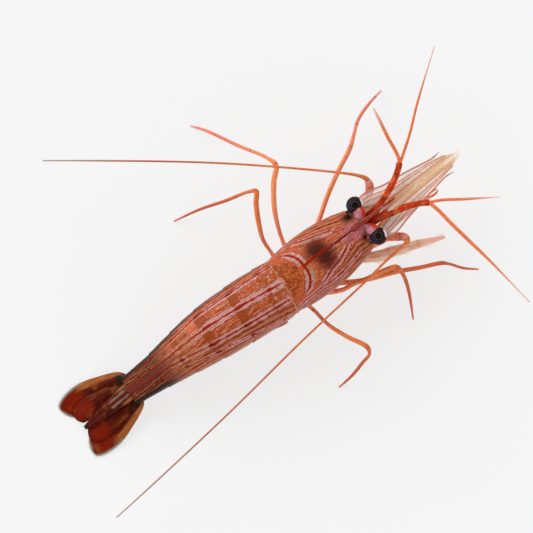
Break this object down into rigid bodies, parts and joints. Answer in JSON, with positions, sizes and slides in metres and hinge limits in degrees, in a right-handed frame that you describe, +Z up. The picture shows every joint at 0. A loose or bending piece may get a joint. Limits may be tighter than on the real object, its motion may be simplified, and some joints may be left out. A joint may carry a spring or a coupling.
{
  "type": "peppermint shrimp",
  "caption": "Life-size still model of a peppermint shrimp standing on its walking legs, with long feelers, red lengthwise stripes and a dark tail fan.",
  "frame": {"origin": "on the floor, under the middle of the bounding box, feelers included", "axes": "+X towards the head along the body, +Y to the animal's left, +Z up from the floor it stands on"},
  "size_m": [0.0816, 0.0634, 0.0156],
  "materials": {
    "shell": "smooth, slightly translucent orange-brown cuticle with red and pale pink lengthwise stripes",
    "tail_fan": "dark red-brown with orange-brown outer strips and clear margins",
    "leg": "translucent orange to pink cuticle",
    "feeler": "orange, finely ringed, browner towards the tips",
    "peduncle": "bright red-orange cuticle",
    "scale": "clear tan blade with orange ribs",
    "eyestalk": "lavender pink with a red-orange stripe",
    "eye": "wet black cornea with a fine facet texture",
    "underside": "pale translucent orange-pink cuticle"
  },
  "bodies": {
    "root": {"carapace": "shell", "rostrum": "shell", "thorax": "underside", "mouthparts": "underside", "abdomen_1": "shell", "abdomen_2": "shell", "abdomen_3": "shell", "abdomen_4": "shell", "abdomen_5": "shell", "abdomen_6": "shell", "telson": "tail_fan", "uropod_inner_left": "tail_fan", "uropod_outer_left": "tail_fan", "uropod_inner_right": "tail_fan", "uropod_outer_right": "tail_fan", "eye_left": "eye", "eyestalk_left": "eyestalk", "eye_right": "eye", "eyestalk_right": "eyestalk", "antennule_peduncle_left": "peduncle", "antennule_outer_left": "feeler", "antennule_inner_left": "feeler", "antennule_peduncle_right": "peduncle", "antennule_outer_right": "feeler", "antennule_inner_right": "feeler", "antenna_peduncle_left": "feeler", "antennal_scale_left": "scale", "antenna_near_left": "feeler", "antenna_far_left": "feeler", "antenna_peduncle_right": "feeler", "antennal_scale_right": "scale", "antenna_near_right": "feeler", "antenna_far_right": "feeler", "maxilliped_3_left": "leg", "leg_1_left": "leg", "leg_2_left": "leg", "leg_3_left": "leg", "leg_4_left": "leg", "leg_5_left": "leg", "maxilliped_3_right": "leg", "leg_1_right": "leg", "leg_2_right": "leg", "leg_3_right": "leg", "leg_4_right": "leg", "leg_5_right": "leg", "swimmeret_1_left": "underside", "swimmeret_1_right": "underside", "swimmeret_2_left": "underside", "swimmeret_2_right": "underside", "swimmeret_3_left": "underside", "swimmeret_3_right": "underside", "swimmeret_4_left": "underside", "swimmeret_4_right": "underside", "swimmeret_5_left": "underside", "swimmeret_5_right": "underside"}
  },
  "joints": []
}
